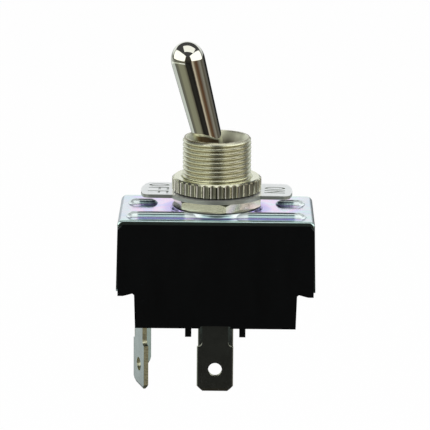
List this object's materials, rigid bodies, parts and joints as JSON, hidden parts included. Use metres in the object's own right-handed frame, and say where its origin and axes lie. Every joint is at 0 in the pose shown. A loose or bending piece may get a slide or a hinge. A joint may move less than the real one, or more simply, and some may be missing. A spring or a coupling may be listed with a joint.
{
  "type": "panel toggle switch",
  "caption": "Heavy duty bat lever toggle switch with threaded bushing, face nuts, ON/OFF plate, pressed frame, black case and push-on tabs.",
  "frame": {"origin": "on the bushing's axis, at the top face of the sheet metal frame", "axes": "+Z along the bushing out of the panel, +X along the body towards the ON side, -Y towards the front face"},
  "size_m": [0.0346, 0.019, 0.0603],
  "materials": {
    "chrome_lever": "polished",
    "nickel": "nickel plated",
    "zinc_frame": "zinc plated, bright",
    "plate_steel": "satin",
    "black_case": "moulded, satin",
    "terminal_metal": "tin plated",
    "contact_brass": "plain",
    "contact_silver": "plain",
    "carrier_plastic": "moulded",
    "fibre_sheet": "pressed fibre",
    "spring_steel": "drawn wire",
    "pin_steel": "ground"
  },
  "bodies": {
    "housing": {"frame": "zinc_frame", "bushing": "nickel", "knurled_nut": "nickel", "legend_plate": "plate_steel", "hex_nut": "nickel", "case": "black_case", "insulator_sheet": "fibre_sheet", "common_terminal_front": "terminal_metal", "end_terminal_front": "terminal_metal", "fixed_contact_front": "contact_silver", "common_terminal_rear": "terminal_metal", "end_terminal_rear": "terminal_metal", "fixed_contact_rear": "contact_silver"},
    "lever": {"lever": "chrome_lever", "pivot_pin": "pin_steel", "actuator": "carrier_plastic", "spring_front": "spring_steel", "spring_rear": "spring_steel"},
    "plunger_front": {"plunger_front": "carrier_plastic"},
    "rocker_front": {"rocker_front": "contact_brass", "moving_contact_front": "contact_silver"},
    "plunger_rear": {"plunger_rear": "carrier_plastic"},
    "rocker_rear": {"rocker_rear": "contact_brass", "moving_contact_rear": "contact_silver"}
  },
  "joints": [
    {"name": "lever_tilt", "type": "hinge", "parent": "housing", "child": "lever", "pos_m": [0, 0, 0.0063], "axis": [0, 1, 0], "range_deg": [0, 28.8]},
    {"name": "plunger_front_press", "type": "slide", "parent": "lever", "child": "plunger_front", "axis": [-0.2487, 0, 0.9686], "range_m": [0, 0.0006], "stiffness_N_per_m": 900, "springref_m": -0.001, "deforming": ["spring_front"]},
    {"name": "rocker_front_teeter", "type": "hinge", "parent": "housing", "child": "rocker_front", "pos_m": [0, -0.00485, -0.0144], "axis": [0, 1, 0], "range_deg": [-18, 0]},
    {"name": "plunger_rear_press", "type": "slide", "parent": "lever", "child": "plunger_rear", "axis": [-0.2487, 0, 0.9686], "range_m": [0, 0.0006], "stiffness_N_per_m": 900, "springref_m": -0.001, "deforming": ["spring_rear"]},
    {"name": "rocker_rear_teeter", "type": "hinge", "parent": "housing", "child": "rocker_rear", "pos_m": [0, 0.00485, -0.0144], "axis": [0, 1, 0], "range_deg": [-18, 0]}
  ],
  "couplings": [
    {"joint": "rocker_front_teeter", "follows": "lever_tilt", "ratio": -0.625},
    {"joint": "rocker_rear_teeter", "follows": "lever_tilt", "ratio": -0.625}
  ]
}
